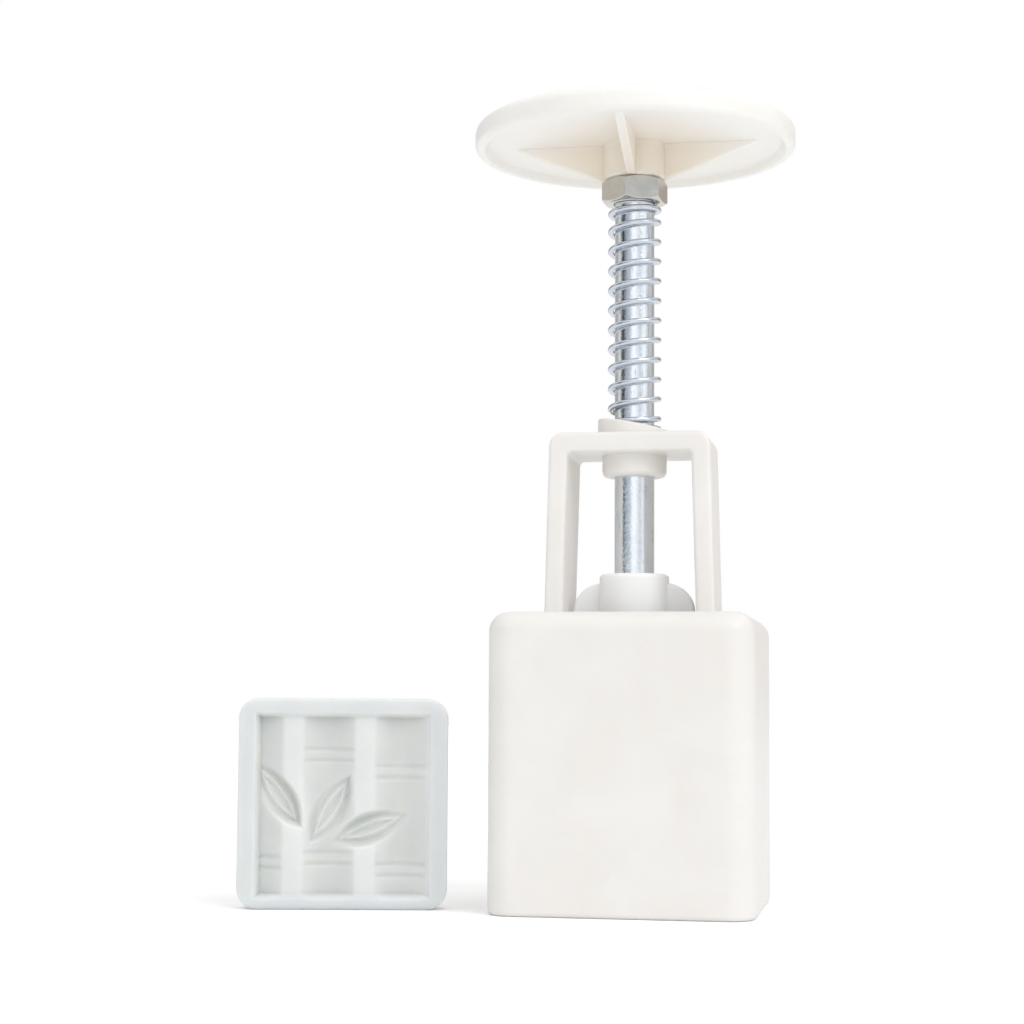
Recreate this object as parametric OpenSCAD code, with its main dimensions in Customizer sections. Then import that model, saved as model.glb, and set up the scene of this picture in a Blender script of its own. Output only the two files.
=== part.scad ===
// Hand press for moulded cakes: a square barrel with a strap arch on top, a sprung plunger
// with a round palm handle, and a loose pattern stamp that plugs into the plunger's foot.
// Millimetres, +Z up. The origin is on the press's axis, in the plane that the barrel stands on.
// The plunger is drawn at rest, held up against its stop by the spring.

/* [Stamp] */
// Width and height of the square pattern stamp
stamp_w = 41; // [38:0.2:48]
// Thickness of the stamp's block, from its rim to its back
stamp_t = 7; // [6:0.5:10]
// Radius of the stamp's four corners
stamp_corner_r = 4.2; // [3:0.2:6]
// Width of the stamp's rim at its two sides
rim_side = 3.2; // [2:0.1:5]
// Width of the stamp's rim along its upper edge
rim_top = 2.8; // [1.6:0.1:4]
// Width of the stamp's rim along its lower edge
rim_bottom = 2; // [1.6:0.1:4]
// Drop from the rim to the ridges between the bamboo stalks
ridge_drop = 0.7; // [0.3:0.1:1.2]
// Width of one hollow stalk at the ridges' level
stalk_w = 10.2; // [7:0.2:12]
// Distance from one stalk's middle to the next
stalk_pitch = 14; // [12.2:0.2:18]
// Offset of the middle stalk from the stamp's middle
stalk_shift = -2.8; // [-4:0.2:4]
// Depth of a hollow stalk below the ridges
stalk_depth = 2; // [1:0.1:2.6]
// Width of one ring groove at a stalk's joint
ring_w = 0.8; // [0.4:0.1:1.2]
// Distance between the two ring grooves of a joint
ring_pitch = 2.2; // [1.6:0.1:3.2]
// Depth of a ring groove below the stalk
ring_depth = 0.35; // [0.2:0.05:0.8]
// Length of a bamboo leaf
leaf_len = 14; // [10:0.2:16]
// Width of a bamboo leaf at its middle
leaf_w = 5.4; // [4:0.2:7]
// Depth of a leaf's floor below the stamp's rim
leaf_depth = 3.3; // [3:0.1:4.2]
// Height of the two veins on a leaf's floor
vein_h = 0.8; // [0.3:0.1:1.2]
// Width of one vein
vein_w = 0.6; // [0.3:0.1:0.8]
// Length of the round collar on the stamp's back
collar_len = 6; // [4:0.5:6.5]
// Wall of the collar
collar_wall = 1.6; // [1.2:0.1:2.4]

/* [Barrel] */
// Wall of the square barrel
barrel_wall = 4.8; // [3:0.2:7]
// Height of the barrel from its open rim to its top face
barrel_h = 57.8; // [56:0.2:66]
// Radius of the barrel's four upright corners
barrel_corner_r = 5.5; // [4.5:0.5:9]
// Radius round the edge of the barrel's top face
barrel_top_r = 3.8; // [1:0.2:4.2]
// Thickness of the barrel's top plate
top_plate_t = 3; // [2:0.2:3.6]

/* [Arch] */
// Height of the arch above the barrel
arch_h = 36.4; // [32:0.1:42]
// Thickness of the arch's two strap legs
leg_t = 3.7; // [2.8:0.1:5]
// Depth of the legs and the crossbar, front to back
leg_depth = 18.5; // [14:0.5:24]
// How far each leg leans inwards over its height
leg_lean = 0.9; // [0:0.1:2]
// Thickness of the crossbar
bar_t = 4.1; // [2.8:0.1:5]
// Outer radius where a leg turns into the crossbar
arch_corner_r = 2.8; // [1.5:0.1:3.5]
// Inner radius where a leg turns into the crossbar
window_corner_r = 1; // [0.5:0.1:2]
// Radius of the fillet at each leg's foot
foot_r = 1.2; // [0.5:0.1:2]
// Radius of the rod's guide boss under the crossbar
guide_r = 6.5; // [5.6:0.1:8]
// Length of the guide boss under the crossbar
guide_len = 4.3; // [3:0.1:6]
// Radius of the rounded edge under the guide boss
guide_edge_r = 1.2; // [0.5:0.1:1.4]
// Height of the spring seat above the crossbar
seat_rise = 0.7; // [0.4:0.1:1.5]
// Height of the spring cup's high side above the seat
cup_rise = 3; // [2:0.1:4]
// Fall of the spring cup's rim from its left side to its right, in degrees
cup_slope = 11; // [0:1:12]
// Wall of the spring cup
cup_wall = 1.7; // [1.2:0.1:2.5]

/* [Plunger] */
// Stroke of the plunger from rest to its lower stop
travel = 28; // [20:0.5:29]
// Height of the stamp's face above the barrel's rim at full stroke
face_setback = 1; // [0.5:0.5:2]
// Diameter of the steel rod
rod_d = 8; // [7:0.1:8.6]
// Radius of the pusher's hub above the barrel
hub_r = 7; // [6.6:0.1:8]
// Height of the hub above the barrel's top face
hub_rise = 8.4; // [7.4:0.1:10]
// Reach of the hub's two side fins from the axis
fin_reach = 12.2; // [11:0.1:14]
// Radius of the fins' rounded shoulders
fin_round_r = 5.8; // [4:0.1:6]
// Drop from the hub's top face to the top of its fins
fin_drop = 1.8; // [1:0.1:3]
// Thickness of the pusher's fins and webs
web_t = 3; // [2:0.1:4]
// Thickness of the square pressing plate
plate_t = 4; // [3:0.5:6]
// Radius of the socket that takes the stamp's collar
socket_r = 9; // [8.6:0.1:10]
// Depth of that socket
socket_depth = 6.5; // [6.5:0.5:8]
// Wall round the socket
socket_wall = 2.2; // [1.6:0.1:3]

/* [Handle] */
// Diameter of the round palm handle
palm_d = 65.4; // [56:0.2:76]
// Height of the handle's rim
palm_rim_h = 5.2; // [4.6:0.1:8]
// Thickness of the handle's web behind the rim
palm_web_t = 3.7; // [2.8:0.1:4.2]
// Width of the rim band under the handle
palm_band = 2.6; // [2:0.1:4]
// Radius round the handle's upper edge
palm_edge_r = 2; // [1:0.1:2.6]
// Reach of the four triangular ribs under the handle
rib_reach = 25.5; // [18:0.5:26]
// Thickness of these ribs
rib_t = 1.9; // [1.2:0.1:3]
// Radius of the threaded boss under the handle
boss_r = 6.3; // [5.6:0.1:8]
// Length of that boss below the handle's web
boss_len = 7.4; // [5:0.1:12]

/* [Spring and fasteners] */
// Length of the spring as it is fitted, between the seat and the lock nut
spring_len = 47.1; // [45.5:0.2:54]
// Diameter of the spring's wire
wire_d = 1.2; // [1:0.05:1.3]
// Number of turns in the spring, with its two closed ends
spring_turns = 12.5; // [9:0.5:13.5]
// Distance across the flats of the two hexagon nuts
nut_af = 12; // [11:0.1:13]
// Height of the two hexagon nuts
nut_h = 4.9; // [4:0.1:6.5]
// Outer diameter of the washer
washer_d = 16; // [14:0.5:16]
// Thickness of the washer
washer_t = 1.6; // [1.2:0.1:2]

/* [Clearances] */
// Gap between the stamp and the barrel's inner wall, each side
stamp_clear = 0.4; // [0.3:0.05:0.6]
// Gap between the pressing plate and the barrel's inner wall, each side
plate_clear = 0.3; // [0.2:0.05:0.5]
// Radial running clearance of the rod in its guide
guide_clear = 0.06; // [0.03:0.01:0.09]
// Radial clearance where the rod is fixed in the hub, the boss and the nuts
fixed_clear = 0.02; // [0.01:0.01:0.04]
// Radial gap between the fins and the barrel's top opening
opening_clear = 0.55; // [0.4:0.05:0.8]
// Gap from that opening to the legs' inner faces
leg_margin = 0.5; // [0.2:0.05:0.8]
// Gap under the top plate when the plunger is at rest
stop_gap = 0.2; // [0.1:0.05:0.4]
// Radial gap between the spring's wire and the rod
spring_clear = 0.25; // [0.2:0.05:0.4]
// Gap between neighbouring coils at the spring's closed ends
coil_gap = 0.5; // [0.45:0.05:0.7]
// Gap between the spring's upper end and the lock nut that bears on it
end_clear = 0.02; // [0.01:0.01:0.05]
// Gap between the stamp's collar and its socket
collar_clear = 0.1; // [0.05:0.05:0.2]
// Gap on the floor between the barrel's side and the stamp beside it
stamp_gap = 8.5; // [6:0.1:30]

/* [Stamp's place] */
// Distance of the stamp's middle in front of the press's axis
stamp_forward = 20; // [0:0.5:30]
// Turn of the stamp about the upright, in degrees
stamp_turn = 12; // [0:1:20]

/* [Hidden] */
$fn = 96;

IVORY = [0.95, 0.93, 0.89];
NEUTRAL_WHITE = [0.93, 0.93, 0.92];
FROSTED = [0.80, 0.85, 0.87];
ZINC = [0.70, 0.73, 0.76];

slack = 0.1;           // how far a cut runs past the face that it opens
rod_r = rod_d / 2;

// The barrel grows from the stamp that slides in it.
cavity_w = stamp_w + 2 * stamp_clear;
cavity_corner_r = stamp_corner_r + stamp_clear;
barrel_w = cavity_w + 2 * barrel_wall;
ceiling_z = barrel_h - top_plate_t;
opening_r = fin_reach + opening_clear;

// The arch stands outside the opening.
leg_in_base = opening_r + leg_margin;
leg_out_base = leg_in_base + leg_t;
bar_top_z = barrel_h + arch_h;
bar_under_z = bar_top_z - bar_t;
guide_bore_r = rod_r + guide_clear;

// The spring stands in its cup on the crossbar and carries the plunger by the lock nut.
coil_r = rod_r + spring_clear + wire_d / 2;
cup_bore_r = coil_r + wire_d / 2 + spring_clear;
cup_r = cup_bore_r + cup_wall;
seat_z = bar_top_z + seat_rise;
lock_nut_z = seat_z + spring_len;
boss_z = lock_nut_z + nut_h;
palm_web_z = boss_z + boss_len;
palm_top_z = palm_web_z + palm_web_t;
rod_cover = 2.4;       // handle left above the rod's end
rod_top_z = palm_top_z - rod_cover;

// The pusher hangs under the top plate, with the stamp's face near the rim at full stroke.
stop_z = ceiling_z - stop_gap;
plate_z = travel + stamp_t + face_setback;
plate_w = cavity_w - 2 * plate_clear;
hub_top_z = barrel_h + hub_rise;
fin_top_z = hub_top_z - fin_drop;
socket_top_z = plate_z + socket_depth;
rod_tail = 1;          // rod's end past the lower nut, which stays inside the pocket
rod_end_z = socket_top_z + 0.2;
low_nut_z = rod_end_z + rod_tail;
washer_z = low_nut_z + nut_h;
pocket_top_z = washer_z + washer_t;
pocket_clear = 0.2;
pocket_r = washer_d / 2 + pocket_clear;
collar_r = socket_r - collar_clear;
stamp_x = -(barrel_w + stamp_w) / 2 - stamp_gap;

// Square outline with round corners, centred.
module rounded_square(w, r) {
    square([w, w - 2 * r], center = true);
    square([w - 2 * r, w], center = true);
    for (x = [-1, 1], y = [-1, 1])
        translate([x * (w / 2 - r), y * (w / 2 - r)])
            circle(r);
}

// Half section of a column with a rounded top edge, from the axis outwards.
module soft_column_section(r, h, edge_r) {
    square([r - edge_r, h]);
    square([r, h - edge_r]);
    translate([r - edge_r, h - edge_r])
        intersection() {
            circle(edge_r);
            square(edge_r);
        }
}

// Square block with round upright corners and a rounded top edge.
module soft_block(w, h, corner_r, edge_r) {
    for (turn = [0, 90])
        rotate([90, 0, turn])
            linear_extrude(w - 2 * corner_r, center = true)
                for (side = [0, 1])
                    mirror([side, 0])
                        soft_column_section(w / 2, h, edge_r);
    for (x = [-1, 1], y = [-1, 1])
        translate([x * (w / 2 - corner_r), y * (w / 2 - corner_r), 0])
            rotate_extrude()
                soft_column_section(corner_r, h, edge_r);
}

// Upright outline whose two sides lean inwards and whose top corners are round.
// A corner's centre lies one radius from the leaning side, measured square to it.
module leaning_outline(half_base, half_top, z0, z1, r) {
    lean = atan((half_base - half_top) / (z1 - z0));
    side_x = half_top + r * tan(lean);
    centre_x = side_x - r / cos(lean);
    touch = [centre_x + r * cos(lean), z1 - r + r * sin(lean)];
    polygon([
        [-half_base, z0], [half_base, z0],
        touch, [centre_x, z1], [-centre_x, z1], [-touch[0], touch[1]]
    ]);
    for (side = [-1, 1])
        translate([side * centre_x, z1 - r])
            circle(r);
}

// Hollow corner at the foot of a leg, from the leg's face outwards.
module foot_fillet(r) {
    difference() {
        translate([-slack, -slack])
            square(r + slack);
        translate([r, r])
            circle(r);
    }
}

// Hexagon nut on the Z axis with both faces chamfered, standing on z = 0.
module hex_nut(af, h, bore_r) {
    corner_r = af / 2 / cos(30);
    face_r = af / 2 * 0.97;
    chamfer = (corner_r - face_r) * tan(30);
    difference() {
        intersection() {
            cylinder(r = corner_r, h = h, $fn = 6);
            rotate_extrude()
                polygon([
                    [0, 0], [face_r, 0], [corner_r, chamfer],
                    [corner_r, h - chamfer], [face_r, h], [0, h]
                ]);
        }
        translate([0, 0, -slack])
            cylinder(r = bore_r, h = h + 2 * slack);
    }
}

module arch() {
    foot_x = leg_out_base;
    rotate([90, 0, 0])
        linear_extrude(leg_depth, center = true) {
            difference() {
                leaning_outline(leg_out_base, leg_out_base - leg_lean,
                                barrel_h, bar_top_z, arch_corner_r);
                leaning_outline(leg_in_base, leg_in_base - leg_lean,
                                barrel_h, bar_under_z, window_corner_r);
            }
            translate([-leg_out_base, ceiling_z])
                square([leg_t, top_plate_t + slack]);
            translate([leg_in_base, ceiling_z])
                square([leg_t, top_plate_t + slack]);
            for (side = [0, 1])
                mirror([side, 0])
                    translate([foot_x, barrel_h])
                        foot_fillet(foot_r);
        }
}

// Guide boss under the crossbar, with a rounded lower edge.
module guide_boss() {
    translate([0, 0, bar_under_z - guide_len])
        rotate_extrude() {
            translate([0, guide_edge_r])
                square([guide_r, guide_len - guide_edge_r + bar_t / 2]);
            square([guide_r - guide_edge_r, guide_edge_r + slack]);
            translate([guide_r - guide_edge_r, guide_edge_r])
                circle(guide_edge_r);
        }
}

// Spring cup on the crossbar: its rim stands high on the left and slopes down to the right.
module spring_cup() {
    cup_h = seat_rise + cup_rise;
    intersection() {
        translate([0, 0, bar_top_z - bar_t / 2])
            cylinder(r = cup_r, h = cup_h + bar_t / 2);
        translate([-cup_r, 0, bar_top_z + cup_h])
            rotate([0, cup_slope, 0])
                translate([-2 * cup_r, -2 * cup_r, -4 * cup_r])
                    cube([8 * cup_r, 4 * cup_r, 4 * cup_r]);
    }
}

module mould_barrel() {
    color(IVORY)
        difference() {
            union() {
                soft_block(barrel_w, barrel_h, barrel_corner_r, barrel_top_r);
                arch();
                guide_boss();
                spring_cup();
            }
            translate([0, 0, -slack])
                linear_extrude(ceiling_z + slack)
                    rounded_square(cavity_w, cavity_corner_r);
            translate([0, 0, ceiling_z - slack])
                cylinder(r = opening_r, h = top_plate_t + 2 * slack);
            translate([0, 0, bar_under_z - guide_len - slack])
                cylinder(r = guide_bore_r, h = seat_z - bar_under_z + guide_len + 2 * slack);
            translate([0, 0, seat_z])
                cylinder(r = cup_bore_r, h = cup_rise + slack);
        }
}

// Side fin of the hub, from the axis out: it runs up through the barrel's opening.
module fin_section() {
    square_h = fin_top_z - fin_round_r - plate_z - plate_t;
    translate([0, plate_z + plate_t])
        square([fin_reach, square_h]);
    translate([0, plate_z + plate_t])
        square([fin_reach - fin_round_r, fin_top_z - plate_z - plate_t]);
    translate([fin_reach - fin_round_r, fin_top_z - fin_round_r])
        circle(fin_round_r);
}

// Web between the hub and the pressing plate; its shoulder is the plunger's upper stop.
module web_section() {
    foot_reach = plate_w / 2 - 2;
    shoulder_reach = opening_r + 4;
    polygon([
        [0, plate_z + plate_t / 2], [foot_reach, plate_z + plate_t / 2],
        [foot_reach, plate_z + plate_t + 2], [shoulder_reach, stop_z], [0, stop_z]
    ]);
}

module pusher() {
    hub_chamfer = 0.7;
    lower_top_z = pocket_top_z + socket_wall;
    color(NEUTRAL_WHITE)
        difference() {
            union() {
                translate([0, 0, plate_z])
                    linear_extrude(plate_t)
                        rounded_square(plate_w, cavity_corner_r - plate_clear);
                translate([0, 0, plate_z])
                    cylinder(r = socket_r + socket_wall, h = lower_top_z - plate_z);
                rotate_extrude()
                    polygon([
                        [0, plate_z], [hub_r, plate_z], [hub_r, hub_top_z - hub_chamfer],
                        [hub_r - hub_chamfer, hub_top_z], [0, hub_top_z]
                    ]);
                for (turn = [0, 90, 180, 270])
                    rotate([90, 0, turn])
                        linear_extrude(web_t, center = true)
                            web_section();
                for (turn = [0, 180])
                    rotate([90, 0, turn])
                        linear_extrude(web_t, center = true)
                            fin_section();
            }
            translate([0, 0, plate_z - slack])
                cylinder(r = socket_r, h = socket_depth + slack);
            translate([0, 0, plate_z])
                cylinder(r = pocket_r, h = pocket_top_z - plate_z);
            translate([0, 0, plate_z])
                cylinder(r = rod_r + fixed_clear, h = hub_top_z - plate_z + slack);
        }
}

module plunger_rod() {
    end_chamfer = 0.8;
    color(ZINC)
        rotate_extrude()
            polygon([
                [0, rod_end_z], [rod_r - end_chamfer, rod_end_z], [rod_r, rod_end_z + end_chamfer],
                [rod_r, rod_top_z - end_chamfer], [rod_r - end_chamfer, rod_top_z], [0, rod_top_z]
            ]);
}

module rod_end_washer() {
    color(ZINC)
        translate([0, 0, washer_z])
            difference() {
                cylinder(r = washer_d / 2, h = washer_t);
                translate([0, 0, -slack])
                    cylinder(r = rod_r + 2 * pocket_clear, h = washer_t + 2 * slack);
            }
}

module rod_end_nut() {
    color(ZINC)
        translate([0, 0, low_nut_z])
            hex_nut(nut_af, nut_h, rod_r + fixed_clear);
}

module handle_lock_nut() {
    nut_turn = 21;     // angle of the nut's corners as it was tightened, in degrees
    color(ZINC)
        translate([0, 0, lock_nut_z])
            rotate([0, 0, nut_turn])
                hex_nut(nut_af, nut_h, rod_r + fixed_clear);
}

// The spring is a right-handed helix of round wire, drawn as one tube of SIDES sides.
// Its first and last turns close up to a coil gap, and the rest share the length left over.
RINGS = 24;
SIDES = 6;
wire_r = wire_d / 2;
wire_flat = wire_r * cos(180 / SIDES);
closed_pitch = wire_d + coil_gap;
open_pitch = (spring_len - end_clear - 2 * wire_flat - 2 * closed_pitch) / (spring_turns - 2);
spring_start = -45;    // angle of the wire's lower end about the axis, in degrees

// Height of the wire's middle after so many turns.
function coil_z(turns) =
    seat_z + wire_flat
    + closed_pitch * min(turns, 1)
    + open_pitch * max(0, min(turns - 1, spring_turns - 2))
    + closed_pitch * max(0, turns - spring_turns + 1);
function coil_point(turns) =
    let (a = spring_start + 360 * turns)
    [coil_r * cos(a), coil_r * sin(a), coil_z(turns)];
// Point a wire diameter past the end p of the wire, level with it, away from its neighbour q.
function end_run(p, q) =
    let (run = [p[0] - q[0], p[1] - q[1], 0])
    p + run / norm(run) * wire_d;
coil_points = [for (i = [0 : RINGS * spring_turns]) coil_point(i / RINGS)];
wire_path = concat(
    [end_run(coil_points[0], coil_points[1])],
    coil_points,
    [end_run(coil_points[len(coil_points) - 1], coil_points[len(coil_points) - 2])]
);
coil_gaps = [for (i = [0 : RINGS * (spring_turns - 1)]) norm(coil_points[i + RINGS] - coil_points[i]) - wire_d];
echo(str("least gap between the spring's coils, mm: ", min(coil_gaps)));

// Ring of points round the wire at one place on its path, square to the wire there.
function wire_ring(path, i) =
    let (
        last = len(path) - 1,
        run = path[min(i + 1, last)] - path[max(i - 1, 0)],
        along = run / norm(run),
        out = cross(along, cross([path[i][0], path[i][1], 0], along)),
        n = out / norm(out),
        b = cross(along, n)
    )
    [for (s = [0 : SIDES - 1]) path[i] + wire_r * (n * cos(360 * s / SIDES) + b * sin(360 * s / SIDES))];

module wire_tube(path) {
    last = len(path) - 1;
    walls = [
        for (i = [0 : last - 1], s = [0 : SIDES - 1])
            let (t = (s + 1) % SIDES, a = i * SIDES, b = a + SIDES)
            each [[a + s, a + t, b + t], [a + s, b + t, b + s]]
    ];
    start_cap = [for (s = [1 : SIDES - 2]) [0, s + 1, s]];
    end_cap = [for (s = [1 : SIDES - 2]) [last * SIDES, last * SIDES + s, last * SIDES + s + 1]];
    polyhedron(
        points = [for (i = [0 : last]) each wire_ring(path, i)],
        faces = [for (f = concat(walls, start_cap, end_cap)) [f[0], f[2], f[1]]]
    );
}

module return_spring() {
    color(ZINC)
        wire_tube(wire_path);
}

// Half section of the palm handle's disc, from the axis outwards.
module palm_section() {
    r = palm_d / 2;
    band_r = palm_band / 2;
    rim_z = palm_top_z - palm_rim_h;
    translate([0, palm_web_z])
        square([r - palm_edge_r, palm_web_t]);
    translate([r - palm_edge_r, palm_top_z - palm_edge_r])
        intersection() {
            circle(palm_edge_r);
            translate([-slack, 0])
                square(palm_edge_r + slack);
        }
    translate([r - palm_band, rim_z + band_r])
        square([palm_band, palm_rim_h - palm_edge_r - band_r]);
    translate([r - band_r, rim_z + band_r])
        circle(band_r);
}

module palm_handle() {
    color(IVORY)
        difference() {
            union() {
                rotate_extrude()
                    palm_section();
                translate([0, 0, boss_z])
                    cylinder(r = boss_r, h = boss_len + palm_web_t / 2);
                for (turn = [0, 90, 180, 270])
                    rotate([90, 0, turn])
                        linear_extrude(rib_t, center = true)
                            polygon([
                                [0, boss_z], [boss_r, boss_z], [rib_reach, palm_web_z],
                                [rib_reach, palm_web_z + palm_web_t / 2], [0, palm_web_z + palm_web_t / 2]
                            ]);
            }
            translate([0, 0, boss_z - slack])
                cylinder(r = rod_r + fixed_clear, h = rod_top_z - boss_z + slack);
        }
}

// Pointed leaf outline of the given length and width along X: two circles' common part.
module leaf_outline(l, w) {
    r = (l * l + w * w) / (4 * w);
    intersection_for(side = [-1, 1])
        translate([0, side * (r - w / 2)])
            circle(r);
}

// The two veins of one leaf. They bow apart and meet near its tips, which leaves three grooves.
module leaf_veins() {
    vein_len = leaf_len * 0.88;
    vein_span = leaf_w * 0.5;
    difference() {
        leaf_outline(vein_len, vein_span);
        leaf_outline(vein_len - 2 * vein_w, vein_span - 2 * vein_w);
    }
}

// Each leaf's middle from the stamp's middle, as a share of its width, and its direction in degrees.
LEAVES = [
    [-0.307, 0.034, 127],
    [-0.062, -0.028, 59],
    [0.127, -0.117, 20]
];
// Each stalk's place in the row, and the heights of its joints as a share of the stamp's width.
STALKS = [
    [-1, [-0.28]],
    [0, [0.23, -0.26]],
    [1, [0.15, -0.315]]
];

// Slab of a flat outline in the stamp's face, between two depths below the rim.
module face_slab(from, to) {
    translate([0, to, stamp_w / 2])
        rotate([90, 0, 0])
            linear_extrude(to - from)
                children();
}

// The stamp's sunk field, inside its rim.
module field_outline() {
    w = stamp_w - 2 * rim_side;
    h = stamp_w - rim_top - rim_bottom;
    translate([-w / 2, (rim_bottom - rim_top) / 2 - h / 2])
        square([w, h]);
}

// Hollow stalks with their ring grooves, as cylinders that stand in front of the face.
module stalk_hollows() {
    r = (stalk_w * stalk_w / 4 + stalk_depth * stalk_depth) / (2 * stalk_depth);
    for (stalk = STALKS)
        translate([stalk_shift + stalk[0] * stalk_pitch, ridge_drop + stalk_depth - r, stamp_w / 2]) {
            cylinder(r = r, h = stamp_w, center = true);
            for (share = stalk[1], side = [-1, 1])
                translate([0, 0, share * stamp_w + side * ring_pitch / 2])
                    cylinder(r = r + ring_depth, h = ring_w, center = true);
        }
}

// The stamp in its own frame: face towards -Y at y = 0, standing on its lower edge.
module stamp_body() {
    difference() {
        union() {
            face_slab(0, stamp_t)
                rounded_square(stamp_w, stamp_corner_r);
            translate([0, stamp_t, stamp_w / 2])
                rotate([-90, 0, 0])
                    translate([0, 0, -slack])
                        cylinder(r = collar_r, h = collar_len + slack);
        }
        face_slab(-slack, ridge_drop)
            field_outline();
        intersection() {
            face_slab(0, stamp_t)
                field_outline();
            union() {
                stalk_hollows();
                for (leaf = LEAVES)
                    difference() {
                        face_slab(0, leaf_depth)
                            translate([leaf[0] * stamp_w, leaf[1] * stamp_w])
                                rotate(leaf[2])
                                    leaf_outline(leaf_len, leaf_w);
                        face_slab(leaf_depth - vein_h, leaf_depth + slack)
                            translate([leaf[0] * stamp_w, leaf[1] * stamp_w])
                                rotate(leaf[2])
                                    leaf_veins();
                    }
            }
        }
        translate([0, stamp_t, stamp_w / 2])
            rotate([-90, 0, 0])
                cylinder(r = collar_r - collar_wall, h = collar_len + slack);
    }
}

module pattern_stamp() {
    color(FROSTED)
        translate([stamp_x, -stamp_forward, 0])
            rotate([0, 0, stamp_turn])
                stamp_body();
}

mould_barrel();
pusher();
plunger_rod();
rod_end_washer();
rod_end_nut();
return_spring();
handle_lock_nut();
palm_handle();
pattern_stamp();
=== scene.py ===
"""A square hand press for mooncakes beside its loose bamboo stamp, photographed on white.

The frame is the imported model's, in metres: +Z up along the press's axis, its open rim on z = 0,
and the photographed side towards -Y. Sizes in a section are in millimetres, as on a drawing.
"""

import math

import bmesh
import bpy
import numpy as np
from mathutils import Matrix, Vector


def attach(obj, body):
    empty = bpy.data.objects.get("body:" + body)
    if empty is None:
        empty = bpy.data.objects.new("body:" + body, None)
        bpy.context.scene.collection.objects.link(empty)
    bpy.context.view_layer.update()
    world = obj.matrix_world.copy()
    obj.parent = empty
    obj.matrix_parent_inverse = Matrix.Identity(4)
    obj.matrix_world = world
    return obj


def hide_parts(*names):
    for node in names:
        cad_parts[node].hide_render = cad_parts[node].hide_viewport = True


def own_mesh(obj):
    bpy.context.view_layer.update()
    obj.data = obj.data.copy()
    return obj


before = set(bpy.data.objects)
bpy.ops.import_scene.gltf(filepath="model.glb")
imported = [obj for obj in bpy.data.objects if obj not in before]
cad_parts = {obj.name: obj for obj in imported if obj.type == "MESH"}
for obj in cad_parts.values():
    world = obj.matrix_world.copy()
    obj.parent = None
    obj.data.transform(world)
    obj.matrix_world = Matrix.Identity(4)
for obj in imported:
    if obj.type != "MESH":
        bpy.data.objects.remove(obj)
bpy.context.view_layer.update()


# ------------------------------------------------------------------ the square barrel
# One injection moulding in ivory polypropylene: a box open below, with a round hole in its top
# plate, and on it the strap arch that carries the rod's guide boss and the spring's sloping cup.
# The mould leaves every edge soft, and the waxy plastic has a faint cloudy flow in it.
MM = 0.001


def rounded_path(corners, radii, steps=6, closed=False):
    """Polyline whose corners are turned into arcs of the given radii.

    An arc is a rational quadratic curve from tangent point to tangent point. With the sine of
    half the corner's angle as its middle weight it is part of a circle. A guard point just
    outside each end of an arc keeps the shading of the flat beside it even.
    """
    corners = np.asarray(corners, float)
    here = corners if closed else corners[1:-1]
    before = np.roll(corners, 1, 0) if closed else corners[:-2]
    after = np.roll(corners, -1, 0) if closed else corners[2:]
    radii = np.broadcast_to(np.asarray(radii, float), len(here))
    back = (before - here) / np.linalg.norm(before - here, axis=1)[:, None]
    ahead = (after - here) / np.linalg.norm(after - here, axis=1)[:, None]
    half = 0.5 * np.arccos(np.clip((back * ahead).sum(1), -1, 1))
    reach = (radii / np.tan(half))[:, None]
    guard = 0.1 * radii[:, None]
    t = np.linspace(0, 1, steps + 1)[None, :, None]
    weight = np.sin(half)[:, None, None]
    first, last, middle = (1 - t) ** 2, t**2, 2 * weight * t * (1 - t)
    start = (here + back * reach)[:, None]
    end = (here + ahead * reach)[:, None]
    arc = (first * start + middle * here[:, None] + last * end) / (first + middle + last)
    before_arc = (here + back * (reach + guard))[:, None]
    after_arc = (here + ahead * (reach + guard))[:, None]
    path = np.concatenate([before_arc, arc, after_arc], 1).reshape(-1, corners.shape[1])
    return path if closed else np.concatenate([corners[:1], path, corners[-1:]])


def grid_faces(rows, cols, wrap_rows=False, wrap_cols=True):
    """Quads between neighbouring points of a grid, where a wrapped side closes on itself."""
    r = np.arange(rows if wrap_rows else rows - 1)[:, None]
    c = np.arange(cols if wrap_cols else cols - 1)[None, :]
    below, right = (r + 1) % rows, (c + 1) % cols
    quads = [r * cols + c, r * cols + right, below * cols + right, below * cols + c]
    return np.stack(quads, -1).reshape(-1, 4)


def shell(points, wrap_rows=False, wrap_cols=True):
    """A grid of points (rows, columns, 3) as a list of points and its faces."""
    rows, cols = points.shape[:2]
    return points.reshape(-1, 3), grid_faces(rows, cols, wrap_rows, wrap_cols)


def corner_loop(arc_steps=10, side_steps=6):
    """Sign of the corner and direction of the wall at each point round a four-cornered loop.

    Both are complex numbers, x + iy. The outline of a rounded rectangle is then the corner's
    centre, scaled by the sign, plus the radius times the direction.
    """
    arc = np.exp(1j * np.linspace(0, np.pi / 2, arc_steps + 1))
    side = np.linspace(1, -1, side_steps + 2)[1:-1]
    sign = np.concatenate([np.full(arc_steps + 1, 1 + 1j), side + 1j])
    wall = np.concatenate([arc, np.full(side_steps, 1j)])
    turns = 1j ** np.arange(4)[:, None]
    return (turns * sign).ravel(), (turns * wall).ravel()


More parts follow.
